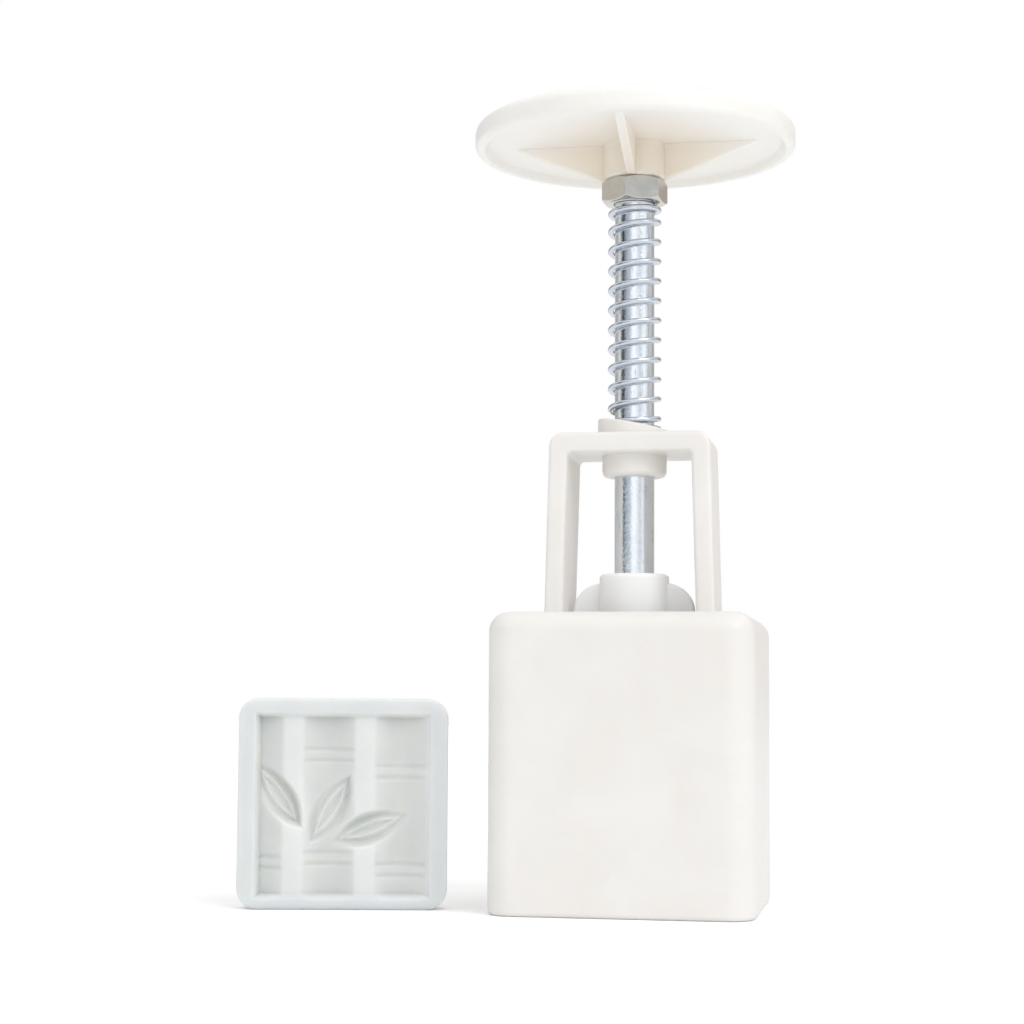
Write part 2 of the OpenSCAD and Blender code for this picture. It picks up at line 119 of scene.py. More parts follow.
def square_to_round(corners, radii, is_round, at_half, at_radius, steps):
    """Closed moulding whose section goes round the axis, square in some rows, round in others.

    The section's points are (half width, height). In a square row the half width h gives the
    rounded square whose corner radius grows with h from at_radius at at_half. In a round row
    it is the circle's radius, along rays that spread the points evenly between the square's
    corners. Blocks of rows belong to the section's corners, in order.
    """
    section = rounded_path(corners, radii, steps, closed=True)
    block = steps + 3
    half, height = section[:, :1], section[:, 1:]
    to_round = np.repeat(np.asarray(is_round, float), block)[:, None]
    radius = np.repeat(at_radius, block)[:, None] + half - np.repeat(at_half, block)[:, None]
    sign, wall = corner_loop()
    square = sign * (half - radius) + wall * radius
    ray = sign * 0.8 + wall * 0.2
    circle = half * ray / np.abs(ray)
    outline = (1 - to_round) * square + to_round * circle
    z = np.broadcast_to(height, outline.shape)
    return shell(np.stack([outline.real, outline.imag, z], -1), wrap_rows=True)


def revolve(section, closed=True, segments=96):
    """Each point (radius, height) of the section goes once round the axis."""
    turn = np.linspace(0, 2 * np.pi, segments, endpoint=False)
    radius, height = section[:, :1], section[:, 1:]
    x, y = radius * np.cos(turn), radius * np.sin(turn)
    return shell(np.stack([x, y, height + 0 * x], -1), wrap_rows=closed)


def arch_strap(outer, inner, depth, edge):
    """Strap between two outlines with as many points each, (x, z), carried from foot to foot.

    At every station the section is a rounded rectangle. It lies between the outer and the inner
    point, and along Y it is depth wide. The first and last stations shrink to a point.
    """
    sign, wall = corner_loop(4, 3)
    across = outer - inner
    thick = np.linalg.norm(across, axis=1)[:, None]
    u = (sign.real * (thick / 2 - edge) + wall.real * edge) / thick
    v = sign.imag * (depth / 2 - edge) + wall.imag * edge + 0 * thick
    middle = (outer + inner) / 2
    x = middle[:, :1] + u * across[:, :1]
    z = middle[:, 1:] + u * across[:, 1:]
    points = np.stack([x, v, z], -1)
    ends = [np.broadcast_to(points[i].mean(0), points[:1].shape) for i in (0, -1)]
    return shell(np.concatenate([ends[0], points, ends[1]]))


def closed_mesh(name, points, faces):
    """Mesh of one shell, in millimetres, merged at its seams and poles, faces outwards."""
    mesh = bpy.data.meshes.new(name)
    mesh.from_pydata(points, [], faces)
    built = bmesh.new()
    built.from_mesh(mesh)
    bmesh.ops.remove_doubles(built, verts=built.verts, dist=1e-4)
    bmesh.ops.recalc_face_normals(built, faces=built.faces)
    built.to_mesh(mesh)
    built.free()
    return mesh


def add_piece(name, shells, body, stands_for, cuts=()):
    """One solid: the first shell, joined with the others and less the cuts.

    It is worked out in millimetres and turned to metres at the end. Its faces are smooth but for
    the creases, which are the edges that turn by more than 32 degrees.
    """
    piece = bpy.data.objects.new(name, closed_mesh(name, *shells[0]))
    bpy.context.scene.collection.objects.link(piece)
    tools = []
    for operation, others in (("UNION", shells[1:]), ("DIFFERENCE", cuts)):
        for points, faces in others:
            tools.append(bpy.data.objects.new("tool", closed_mesh("tool", points, faces)))
            bpy.context.scene.collection.objects.link(tools[-1])
            joining = piece.modifiers.new(operation, "BOOLEAN")
            joining.operation, joining.object, joining.solver = operation, tools[-1], "EXACT"
    if tools:
        whole = piece.evaluated_get(bpy.context.evaluated_depsgraph_get())
        piece.data = bpy.data.meshes.new_from_object(whole)
        piece.modifiers.clear()
        for tool in tools:
            bpy.data.objects.remove(tool)
    piece.data.transform(Matrix.Scale(MM, 4))
    piece.data.shade_smooth()
    piece.data.set_sharp_from_angle(angle=math.radians(32))
    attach(piece, body)
    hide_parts(*stands_for)
    return piece


def linear(hex_colour):
    """sRGB hex to linear red, green, blue and 1."""
    value = np.array([int(hex_colour[i : i + 2], 16) for i in (1, 3, 5)]) / 255
    value = np.where(value <= 0.04045, value / 12.92, ((value + 0.055) / 1.055) ** 2.4)
    return (*value.tolist(), 1.0)


def add_node(tree, kind, settings=None, links=None):
    """A node with its settings, by attribute or by input, and with links into its inputs."""
    node = tree.nodes.new(kind)
    for key, value in (settings or {}).items():
        if isinstance(key, int) or key in node.inputs:
            node.inputs[key].default_value = value
        else:
            setattr(node, key, value)
    for key, socket in (links or {}).items():
        tree.links.new(socket, node.inputs[key])
    return node


def moulded_plastic(name, pale, deep, flow_mm, shine, glow, glow_mm):
    """Injection-moulded polyolefin: cloudy flow between two tones, satin skin, light in the wall.

    pale and deep are the two tones of the flow, whose clouds are flow_mm wide. shine is the
    mean roughness. glow is the share of light that goes through the skin and comes out again
    about glow_mm away.
    """
    material = bpy.data.materials.new(name)
    material.use_nodes = True
    tree = material.node_tree
    skin = tree.nodes["Principled BSDF"]
    place = add_node(tree, "ShaderNodeTexCoord").outputs["Object"]
    flow = add_node(
        tree,
        "ShaderNodeTexNoise",
        {"Scale": 1 / (flow_mm * MM), "Detail": 3.0, "Roughness": 0.55, "Distortion": 0.6},
        {"Vector": place},
    )
    tone = add_node(
        tree,
        "ShaderNodeMix",
        {"data_type": "RGBA", 6: linear(deep), 7: linear(pale)},
        {0: add_node(
            tree,
            "ShaderNodeMapRange",
            {"From Min": 0.3, "From Max": 0.7},
            {"Value": flow.outputs["Fac"]},
        ).outputs["Result"]},
    )
    tree.links.new(tone.outputs[2], skin.inputs["Base Color"])
    # The mould's own fine grain, 0.35 mm across, is drawn coarse enough to catch the light.
    grain = add_node(
        tree,
        "ShaderNodeTexNoise",
        {"Scale": 1 / (0.35 * MM), "Detail": 2.0},
        {"Vector": place},
    )
    matt = add_node(
        tree,
        "ShaderNodeMapRange",
        {"To Min": shine - 0.07, "To Max": shine + 0.07},
        {"Value": flow.outputs["Fac"]},
    )
    tree.links.new(matt.outputs["Result"], skin.inputs["Roughness"])
    # Slow waves, 9 mm apart, where the wall sank a little as it cooled.
    sink = add_node(
        tree, "ShaderNodeTexNoise", {"Scale": 1 / (9 * MM), "Detail": 1.0}, {"Vector": place}
    )
    waves = add_node(
        tree,
        "ShaderNodeBump",
        {"Strength": 0.25, "Distance": 0.12 * MM},
        {"Height": sink.outputs["Fac"]},
    )
    bump = add_node(
        tree,
        "ShaderNodeBump",
        {"Strength": 0.25, "Distance": 0.008 * MM},
        {"Height": grain.outputs["Fac"], "Normal": waves.outputs["Normal"]},
    )
    tree.links.new(bump.outputs["Normal"], skin.inputs["Normal"])
    skin.inputs["IOR"].default_value = 1.49
    skin.inputs["Subsurface Weight"].default_value = glow
    skin.inputs["Subsurface Radius"].default_value = (1.0, 0.85, 0.65)
    skin.inputs["Subsurface Scale"].default_value = glow_mm * MM
    return material


# The section runs from the rim up the outer wall, over the top plate, down its hole, and back
# along the ceiling and the inner wall.
barrel_half, barrel_top = 25.7, 57.8
inner_half, ceiling, hole_r = 20.9, 54.8, 12.75
outer_corner_r, inner_corner_r = 5.5, 4.6
barrel_shell = square_to_round(
    corners=[
        (barrel_half, 0), (barrel_half, barrel_top), (hole_r, barrel_top),
        (hole_r, ceiling), (inner_half, ceiling), (inner_half, 0),
    ],
    radii=[1.0, 3.8, 0.4, 0.4, 0.8, 0.5],
    is_round=[0, 0, 1, 1, 0, 0],
    at_half=[barrel_half] * 4 + [inner_half] * 2,
    at_radius=[outer_corner_r] * 4 + [inner_corner_r] * 2,
    steps=8,
)
# The strap is 3.7 mm thick in its legs and 4.1 mm in its crossbar, and flares at the feet.
strap_outer = rounded_path(
    [(-18.6, 57.7), (-16.95, 57.7), (-16.05, 94.2), (16.05, 94.2), (16.95, 57.7), (18.6, 57.7)],
    [1.3, 2.8, 2.8, 1.3],
    steps=8,
)
strap_inner = rounded_path(
    [(-13.27, 55.6), (-13.25, 57.0), (-12.35, 90.1), (12.35, 90.1), (13.25, 57.0), (13.27, 55.6)],
    [0.3, 1.0, 1.0, 0.3],
    steps=8,
)
strap = arch_strap(strap_outer, strap_inner, depth=18.5, edge=0.8)
guide_boss = revolve(
    rounded_path([(0, 85.8), (6.5, 85.8), (6.5, 92), (0, 92)], [1.2, 0.2]), closed=False
)
cup_r, cup_rise, spring_seat = 7.4, 3, 94.9
cup_points, cup_faces = revolve(
    rounded_path(
        [(0, 92.4), (cup_r, 92.4), (cup_r, spring_seat + cup_rise), (0, spring_seat + cup_rise)],
        [0.2, 0.6],
    ),
    closed=False,
)
# The cup's rim falls 11 degrees to the right: a point sinks with its x, in share of its height.
share = np.clip((cup_points[:, 2] - spring_seat) / cup_rise, 0, 1)
cup_points[:, 2] -= share * (cup_points[:, 0] + cup_r) * math.tan(math.radians(11))
# The guide's bore leaves the rod 0.06 mm all round, and widens to the spring's seat in the cup.
guide_r, seat_r = 4.06, 5.7
bore = revolve(
    rounded_path(
        [
            (0, 85), (4.5, 85), (guide_r, 86.1), (guide_r, spring_seat),
            (seat_r, spring_seat), (6.0, 99), (0, 99),
        ],
        [0.2, 0.5, 0.3, 0.3, 0.2],
    ),
    closed=False,
)

barrel = add_piece(
    "barrel_moulding",
    [barrel_shell, strap, guide_boss, (cup_points, cup_faces)],
    "barrel",
    ["mould_barrel"],
    cuts=[bore],
)
ivory = moulded_plastic("ivory_polypropylene", "#f2f0ed", "#eeebe7", 14, 0.36, 0.25, 1.2)
barrel.data.materials.append(ivory)


# ------------------------------------------------------------------ the pusher
# A second moulding in a cooler white: the square plate that presses the dough, four webs that
# stop under the barrel's top plate, and the hub that takes the rod, with two fins beside it.
def plate_with_edge(outline, half, edge, along, steps=4):
    """Upright plate of a closed outline (along, z) with a rounded edge, half thick each way.

    Its skin starts at the middle of one face, runs out to the outline pulled in by the edge's
    radius, turns round the edge by sines and cosines, and comes back on the other face. A guard
    row 1.3 edges inside the outline keeps the face's shading flat.
    """
    tangent = np.roll(outline, -1, 0) - np.roll(outline, 1, 0)
    outward = np.stack([tangent[:, 1], -tangent[:, 0]], 1)
    outward /= np.linalg.norm(outward, axis=1)[:, None]
    turn = np.linspace(0, np.pi / 2, steps + 1)
    guard = [1.3]
    pull = np.concatenate([guard, 1 - np.sin(turn), 1 - np.sin(turn[::-1]), guard]) * edge
    side = half - edge * (1 - np.cos(turn))
    height = np.concatenate([[half], side, -side[::-1], [-half]])
    rows = outline[None] - pull[:, None, None] * outward[None]
    centre = np.broadcast_to(outline.mean(0), (1, *outline.shape))
    rows = np.concatenate([centre, rows, centre])
    height = np.concatenate([[half], height, [-half]])[:, None, None]
    along, up = np.asarray(along, float), np.array([0.0, 0.0, 1.0])
    points = rows[..., :1] * along + rows[..., 1:] * up
    return shell(points + height * np.cross(along, up))


plate_half, plate_under, plate_over = 20.6, 36, 40
socket_housing_r, housing_top, hub_r, hub_top = 11.2, 52.4, 7, 66.2
core_r = 2
pusher_body = square_to_round(
    corners=[
        (plate_half, plate_under), (plate_half, plate_over),
        (socket_housing_r, plate_over), (socket_housing_r, housing_top),
        (hub_r, housing_top), (hub_r, hub_top), (core_r, hub_top), (core_r, plate_under),
    ],
    radii=[0.5, 0.5, 0.8, 1.0, 0.8, 0.9, 0.3, 0.3],
    is_round=[0, 0, 1, 1, 1, 1, 1, 1],
    at_half=[plate_half] * 8,
    at_radius=[4.3] * 8,
    steps=5,
)
# From below: the stamp's socket, the pocket for nut and washer, and the rod's threaded bore.
socket_r, socket_top, pocket_r, pocket_top, thread_r = 9, 42.5, 8.2, 50.2, 4.02
socket_and_bore = revolve(
    rounded_path(
        [
            (0, 35), (9.5, 35), (socket_r, 36.4), (socket_r, socket_top),
            (pocket_r, socket_top), (pocket_r, pocket_top),
            (thread_r, pocket_top), (thread_r, 65.8), (4.3, 67), (0, 67),
        ],
        [0.2, 0.5, 0.2, 0.2, 0.3, 0.2, 0.3, 0.2],
    ),
    closed=False,
)
fin = rounded_path(
    [(2.5, 38), (12.2, 38), (12.2, 64.4), (2.5, 64.4)], [0.8, 0.8, 5.8, 0.8], steps=10, closed=True
)
web = rounded_path(
    [(2.5, 38.5), (18.6, 38.5), (18.6, 42), (16.75, 54.6), (2.5, 54.6)], 0.8, closed=True
)
sides = [(1, 0, 0), (0, 1, 0), (-1, 0, 0), (0, -1, 0)]
pusher_plates = [plate_with_edge(fin, 1.5, 0.5, side) for side in sides[::2]]
pusher_plates += [plate_with_edge(web, 1.5, 0.3, side) for side in sides]
pusher = add_piece(
    "pusher_moulding",
    [pusher_body, *pusher_plates],
    "plunger",
    ["pusher"],
    cuts=[socket_and_bore],
)
pusher.data.materials.append(
    moulded_plastic("white_polypropylene", "#fdfdfd", "#fafafa", 12, 0.32, 0.2, 1.0)
)


# ------------------------------------------------------------------ the plunger's steel rod
# An 8 mm rod of zinc-plated mild steel, drawn and then plated, chamfered at both ends. It shows
# long drawing lines under the bluish plating, and a slightly mottled reflection.
def plated_steel(name, bright, dull, roughness, line_mm, line_length, speck_share, peel_mm):
    """Zinc-plated steel: clouded plating, lines of drawing or cutting along Z, and darker specks.

    The lines are line_mm apart and line_length times as long, and so are the specks, which are
    pits that the plating left open. speck_share is about how much of the surface they take.
    peel_mm is the height of the plating's orange peel.
    """
    material = bpy.data.materials.new(name)
    material.use_nodes = True
    tree = material.node_tree
    skin = tree.nodes["Principled BSDF"]
    place = add_node(tree, "ShaderNodeTexCoord").outputs["Object"]
    along = add_node(
        tree, "ShaderNodeMapping", {"Scale": (1, 1, 1 / line_length)}, {"Vector": place}
    )
    lines = add_node(
        tree,
        "ShaderNodeTexNoise",
        {"Scale": 1 / (line_mm * MM), "Detail": 3.0, "Roughness": 0.6},
        {"Vector": along.outputs["Vector"]},
    )
    cloud = add_node(
        tree, "ShaderNodeTexNoise", {"Scale": 1 / (2.5 * MM), "Detail": 4.0}, {"Vector": place}
    )
    tone = add_node(
        tree,
        "ShaderNodeMix",
        {"data_type": "RGBA", 6: linear(dull), 7: linear(bright)},
        {0: cloud.outputs["Fac"]},
    )
    # The lines' deepest parts are the pits: a little darker, and rougher.
    pit = add_node(
        tree,
        "ShaderNodeMapRange",
        {"From Min": 0.33 + speck_share, "From Max": 0.22 + speck_share},
        {"Value": lines.outputs["Fac"]},
    )
    speckled = add_node(
        tree,
        "ShaderNodeMix",
        {"data_type": "RGBA", 7: linear("#a3a9b0")},
        {0: pit.outputs["Result"], 6: tone.outputs[2]},
    )
    tree.links.new(speckled.outputs[2], skin.inputs["Base Color"])
    shine = add_node(
        tree,
        "ShaderNodeMapRange",
        {"To Min": roughness - 0.08, "To Max": roughness + 0.1},
        {"Value": cloud.outputs["Fac"]},
    )
    duller = add_node(
        tree,
        "ShaderNodeMath",
        {"operation": "MULTIPLY_ADD", 1: 0.2},
        {0: pit.outputs["Result"], 2: shine.outputs["Result"]},
    )
    tree.links.new(duller.outputs["Value"], skin.inputs["Roughness"])
    # The plating's orange peel, 0.6 mm across, mottles whatever the steel mirrors.
    peel = add_node(
        tree, "ShaderNodeTexNoise", {"Scale": 1 / (0.6 * MM), "Detail": 3.0}, {"Vector": place}
    )
    mottle = add_node(
        tree,
        "ShaderNodeBump",
        {"Strength": 1.0, "Distance": peel_mm * MM},
        {"Height": peel.outputs["Fac"]},
    )
    bump = add_node(
        tree,
        "ShaderNodeBump",
        {"Strength": 0.6, "Distance": 0.02 * MM},
        {"Height": lines.outputs["Fac"], "Normal": mottle.outputs["Normal"]},
    )
    tree.links.new(bump.outputs["Normal"], skin.inputs["Normal"])
    skin.inputs["Metallic"].default_value = 1.0
    return material


rod_r, rod_foot, rod_top = 4, 42.7, 155.6
rod_section = [(0, rod_foot), (rod_r, rod_foot), (rod_r, rod_top), (0, rod_top)]
rod = add_piece(
    "steel_rod",
    [revolve(rounded_path(rod_section, 0.7), closed=False)],
    "plunger",
    ["plunger_rod"],
)
rod_steel = plated_steel("zinc_plated_drawn_steel", "#f0f3f7", "#dfe4ea", 0.19, 0.45, 9, 0.05, 0.05)
rod.data.materials.append(rod_steel)


# ------------------------------------------------------------------ the nuts and the washer
# Two M8 hexagon nuts and a plain washer, cut from zinc-plated steel. The upper nut locks the rod
# in the handle and carries the spring. The others hold the rod's lower end inside the pusher.
def hexagon_nut(flats, height, bore, base, turn_degrees):
    """Nut whose section follows the hexagon's radius, flats / 2 / cos(angle from the flat).

    Where the hexagon stands out past the chamfer's cone its corner is cut down at 30 degrees,
    by the tangent of 30 degrees times the distance that it stands out. The bore's mouths are
    cut at 45 degrees.
    """
    turn = np.linspace(0, 2 * np.pi, 120, endpoint=False)
    reach = flats / 2 / np.cos((turn % (np.pi / 3)) - np.pi / 6)
    face = flats / 2 * 0.97
    drop = (reach - face) * math.tan(math.pi / 6)
    mouth = 0.35
    level = 0 * turn
    radius = np.stack([
        level + bore + mouth, level + face, reach, reach,
        level + face, level + bore + mouth, level + bore, level + bore,
    ])
    z = np.stack([
        level, level, drop, height - drop,
        level + height, level + height, level + height - mouth, level + mouth,
    ])
    angle = turn + math.radians(turn_degrees)
    points = np.stack([radius * np.cos(angle), radius * np.sin(angle), z + base], -1)
    return shell(points, wrap_rows=True)


nut_steel = plated_steel("zinc_plated_cut_steel", "#d9d7d3", "#bfbbb4", 0.2, 0.7, 1, 0.02, 0.015)
across_flats, nut_height = 12, 4.9
lock_nut = add_piece(
    "handle_lock_nut_steel",
    [hexagon_nut(across_flats, nut_height, thread_r, base=142.0, turn_degrees=21)],
    "plunger",
    ["handle_lock_nut"],
)
lower_nut = add_piece(
    "lower_nut_steel",
    [hexagon_nut(across_flats, nut_height, thread_r, base=43.7, turn_degrees=0)],
    "plunger",
    ["rod_end_nut"],
)
washer = add_piece(
    "washer_steel",
    [revolve(rounded_path([(4.4, 48.6), (8, 48.6), (8, 50.2), (4.4, 50.2)], 0.25, closed=True))],
    "plunger",
    ["rod_end_washer"],
)
for fastener in (lock_nut, lower_nut, washer):
    fastener.data.materials.append(nut_steel)
for nut in (lock_nut, lower_nut):
    soft = nut.modifiers.new("soft_corners", "BEVEL")
    soft.width, soft.segments, soft.limit_method = 0.12 * MM, 2, "ANGLE"
    nut.data.shade_smooth()


# ------------------------------------------------------------------ the return spring
# A compression spring of 1.2 mm bright spring wire, coiled right-handed round the rod in 12.5
# turns, with a closed turn at each end. It stands in the arch's cup and pushes the lock nut up.
def coiled_wire(wire, coil, turns, closed, z0, z1, start_degrees, steps=40, sides=14):
    """Tube along a helix of radius coil, between the heights z0 and z1 that its ends lie on.

    The wire rises by closed in the first and the last turn, and evenly between them. Its section
    is a circle on the coil's outward direction and the binormal. Its ends are domed: three more
    rings shrink as the cosine while they go on as the sine.
    """
    turn = np.linspace(0, turns, int(turns * steps) + 1)
    angle = math.radians(start_degrees) + 2 * np.pi * turn
    # From z0 up to the wire's axis, and from z1 down to it, as in the CAD's many-sided wire.
    flat = wire / 2 * math.cos(math.pi / 6)
    pitch = (z1 - z0 - 2 * flat - 2 * closed) / (turns - 2)
    rise = closed * np.minimum(turn, 1) + pitch * np.clip(turn - 1, 0, turns - 2)
    rise += closed * np.maximum(0, turn - turns + 1)
    line = np.stack([coil * np.cos(angle), coil * np.sin(angle), z0 + flat + rise], 1)
    along = np.gradient(line, axis=0)
    along /= np.linalg.norm(along, axis=1)[:, None]
    out = np.stack([np.cos(angle), np.sin(angle), 0 * angle], 1)
    across = np.cross(along, out)
    around = np.linspace(0, 2 * np.pi, sides, endpoint=False)
    dome = np.radians([90, 60, 30])
    grow = np.concatenate([np.cos(dome), np.ones(len(line)), np.cos(dome[::-1])])
    shift = np.concatenate([-np.sin(dome), np.zeros(len(line)), np.sin(dome[::-1])]) * wire / 2
    index = np.concatenate([[0] * 3, np.arange(len(line)), [len(line) - 1] * 3])
    ring = np.cos(around)[:, None] * out[index][:, None]
    ring = ring + np.sin(around)[:, None] * across[index][:, None]
    middle = line[index] + shift[:, None] * along[index]
    return shell(middle[:, None] + ring * grow[:, None, None] * wire / 2)


spring = add_piece(
    "return_spring_wire",
    [coiled_wire(1.2, 4.85, 12.5, 1.7, z0=94.98, z1=141.94, start_degrees=-45)],
    "barrel",
    ["return_spring"],
)
spring_steel = plated_steel("bright_spring_wire", "#dde2ea", "#c2c9d3", 0.17, 0.5, 1, 0.0, 0.01)
spring.data.materials.append(spring_steel)
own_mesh(spring)


# ------------------------------------------------------------------ the palm handle
# A round handle moulded in the barrel's ivory plastic: a disc with a turned-down rim for the palm,
# four triangular ribs under it, and the threaded boss that takes the rod's upper end.
disc_r, disc_top, disc_rim, disc_under = 32.7, 158, 152.8, 154.3
disc = revolve(
    rounded_path(
        [
            (0, disc_top), (disc_r, disc_top), (disc_r, disc_rim),
            (30.75, disc_rim), (29.9, disc_under), (0, disc_under),
        ],
        [2.0, 1.28, 0.6, 0.8],
        steps=8,
    ),
    closed=False,
    segments=144,
)
boss_r, boss_foot = 6.3, 146.9
boss = revolve(
    rounded_path([(0, boss_foot), (boss_r, boss_foot), (boss_r, 156), (0, 156)], [0.7, 0.2]),
    closed=False,
)
boss_bore = revolve(
    rounded_path(
        [(0, 146), (4.4, 146), (thread_r, 147.3), (thread_r, 155.7), (0, 155.7)],
        [0.2, 0.4, 0.2],
    ),
    closed=False,
)
rib_reach = 25.5
rib = rounded_path(
    [
        (2.5, 147.3), (boss_r, boss_foot), (rib_reach, disc_under),
        (rib_reach, 156.5), (2.5, 156.5),
    ],
    0.8,
    closed=True,
)
ribs = [plate_with_edge(rib, 0.95, 0.35, side) for side in sides]
palm = add_piece(
    "palm_handle_moulding",
    [disc, boss, *ribs],
    "plunger",
    ["palm_handle"],
    cuts=[boss_bore],
)
cream = moulded_plastic("cream_polypropylene", "#faf8f5", "#f7f5f0", 14, 0.34, 0.4, 2.0)
palm.data.materials.append(cream)
# Painted warm shade: under the disc and within 20 mm of the boss, the base colour is mixed towards
# a darker cream, for the warm shade that falls there.
cream_tree = cream.node_tree
cream_skin = cream_tree.nodes["Principled BSDF"]
position = add_node(cream_tree, "ShaderNodeTexCoord").outputs["Object"]
from_axis = add_node(
    cream_tree, "ShaderNodeVectorMath", {"operation": "MULTIPLY", 1: (1, 1, 0)}, {0: position}
)
distance = add_node(
    cream_tree, "ShaderNodeVectorMath", {"operation": "LENGTH"}, {0: from_axis.outputs["Vector"]}
)
near = add_node(
    cream_tree,
    "ShaderNodeMapRange",
    {"From Min": 26 * MM, "From Max": 6 * MM},
    {"Value": distance.outputs["Value"]},
)
position_parts = add_node(cream_tree, "ShaderNodeSeparateXYZ", {}, {0: position})
under = add_node(
    cream_tree,
    "ShaderNodeMapRange",
    {"From Min": 156 * MM, "From Max": 153 * MM},
    {"Value": position_parts.outputs["Z"]},
)
# The painted shade's mask: near the boss, times under the disc.
thick = add_node(
    cream_tree,
    "ShaderNodeMath",
    {"operation": "MULTIPLY"},
    {0: near.outputs[0], 1: under.outputs[0]},
)
# Painted warm shade: the cream is mixed towards #efe6d8 by that mask.
painted_warm_shade = add_node(
    cream_tree,
    "ShaderNodeMix",
    {"data_type": "RGBA", 7: linear("#efe6d8")},
    {0: thick.outputs["Value"], 6: cream_skin.inputs["Base Color"].links[0].from_socket},
)
cream_tree.links.new(painted_warm_shade.outputs[2], cream_skin.inputs["Base Color"])


# ------------------------------------------------------------------ the bamboo stamp
# A loose square stamp in frosted, half clear polypropylene. Three bamboo stalks are sunk in its
# face, hollow and with ring grooves at their joints, under three veined leaves. On its back is
# the round collar that plugs into the pusher.
stamp_w, field_side, field_foot, field_head = 41, 17.3, 18.5, 17.7
ridge_drop, stalk_w, stalk_depth, stalk_pitch, middle_stalk = 0.7, 10.2, 2.0, 14.0, -2.8
ring_from_joint, ring_half, ring_depth = 1.1, 0.4, 0.25
leaf_len, leaf_w, leaf_floor, vein_h = 14.0, 5.4, 3.3, 0.8


def step(x, width):
    """Smooth step from 0 to 1 over the given width, centred on x = 0."""
    t = np.clip(x / width + 0.5, 0, 1)
    return t * t * (3 - 2 * t)


def leaf_distance(x, z, length, width):
    """Distance inside a pointed leaf along X, which is the common part of two circles."""
    radius = (length**2 + width**2) / (4 * width)
    far = np.hypot(x, np.abs(z) + radius - width / 2)
    return radius - far


def relief(x, z):
    """Depth of the face below the rim at (x, z) from the stamp's middle, in millimetres.

    The field is sunk by the ridges' drop. Each stalk is an arc of a circle below that, with its
    edge eased by a hyperbola, and its ring grooves are two narrow steps. A leaf is sunk to its
    own floor, where two veins rise again along a narrower leaf's outline. Joints and leaves are
    placed in shares of the stamp's width.
    """
    across = np.minimum(x + field_side, field_side - x)
    field = np.minimum(across, np.minimum(z + field_foot, field_head - z))
    inside = step(field - 0.6, 1.2)
    depth = ridge_drop + 0 * x
    radius = (stalk_w**2 / 4 + stalk_depth**2) / (2 * stalk_depth)
    stalks = [(-1, [-0.28]), (0, [0.23, -0.26]), (1, [0.15, -0.315])]
    for row, joints in stalks:
        off = x - (middle_stalk + row * stalk_pitch)
        hollow = np.sqrt(np.maximum(radius**2 - off**2, 0)) - (radius - stalk_depth)
        depth = np.maximum(depth, ridge_drop + 0.5 * (hollow + np.hypot(hollow, 0.5)))
        for joint in joints:
            for side in (-1, 1):
                groove = ring_half - np.abs(z - joint * stamp_w - side * ring_from_joint)
                depth += ring_depth * step(groove, 0.8) * step(hollow - 0.3, 0.8)
    leaves = [(-0.307, 0.034, 127), (-0.062, -0.028, 59), (0.127, -0.117, 20)]
    for along, up, angle in leaves:
        c, s = math.cos(math.radians(angle)), math.sin(math.radians(angle))
        u = (x - along * stamp_w) * c + (z - up * stamp_w) * s
        v = (z - up * stamp_w) * c - (x - along * stamp_w) * s
        edge = leaf_distance(u, v, leaf_len, leaf_w)
        vein = step(0.3 - np.abs(leaf_distance(u, v, 12.3, 2.7) - 0.3), 1.2)
        sunk = step(edge, 1.6)
        depth = depth * (1 - sunk) + np.maximum(depth, leaf_floor - vein_h * vein) * sunk
    return depth * inside


def stamp_block(width, corner, thick, edge, count):
    """Face, sides and back of the stamp in its own frame, face at y = 0 looking along -Y.

    The face is a grid of count points a side. In each corner the grid's square patch is pulled
    into a quarter disc: x by the root of 1 - v v / 2, v by the root of 1 - x x / 2. Loops of the
    grid's border then go round the edge, down the side, round the back's edge and to its middle.
    """
    inner, radius = width / 2 - edge, corner - edge
    line = np.linspace(-inner, inner, count)
    z, x = np.meshgrid(line, line, indexing="ij")
    u = np.clip((np.abs(x) - inner + radius) / radius, 0, 1)
    v = np.clip((np.abs(z) - inner + radius) / radius, 0, 1)
    x = np.sign(x) * (np.abs(x) - u * radius * (1 - np.sqrt(1 - v * v / 2)))
    z = np.sign(z) * (np.abs(z) - v * radius * (1 - np.sqrt(1 - u * u / 2)))
    face = np.stack([x, relief(x, z), z], -1)
    border = np.concatenate([face[0, :-1], face[:-1, -1], face[-1, :0:-1], face[:0:-1, 0]])
    tangent = np.roll(border, -1, 0) - np.roll(border, 1, 0)
    out = np.stack([tangent[:, 2], 0 * tangent[:, 0], -tangent[:, 0]], 1)
    out /= np.linalg.norm(out, axis=1)[:, None]
    turn = np.linspace(0, np.pi / 2, 5)
    push = np.concatenate([np.sin(turn), np.sin(turn[::-1])]) * edge
    back = np.concatenate([edge * (1 - np.cos(turn)), thick - edge * (1 - np.cos(turn[::-1]))])
    loops = border[None] * (1, 0, 1) + push[:, None, None] * out
    loops[..., 1] = back[:, None]
    middle = np.zeros((1, *border.shape)) + (0, thick, 0)
    face_points, face_quads = shell(face, wrap_cols=False)
    side_points, side_quads = shell(np.concatenate([loops, middle]))
    quads = np.concatenate([face_quads, side_quads + len(face_points)])
    return np.concatenate([face_points, side_points]), quads


collar_points, collar_faces = revolve(
    rounded_path([(7.3, 6.6), (8.9, 6.6), (8.9, 13), (7.3, 13)], [0.2, 0.2, 0.4, 0.4], closed=True)
)
collar_points = collar_points[:, [0, 2, 1]] * (1, 1, -1)
collar = collar_points, collar_faces
block = stamp_block(stamp_w, corner=4.2, thick=7, edge=0.5, count=270)
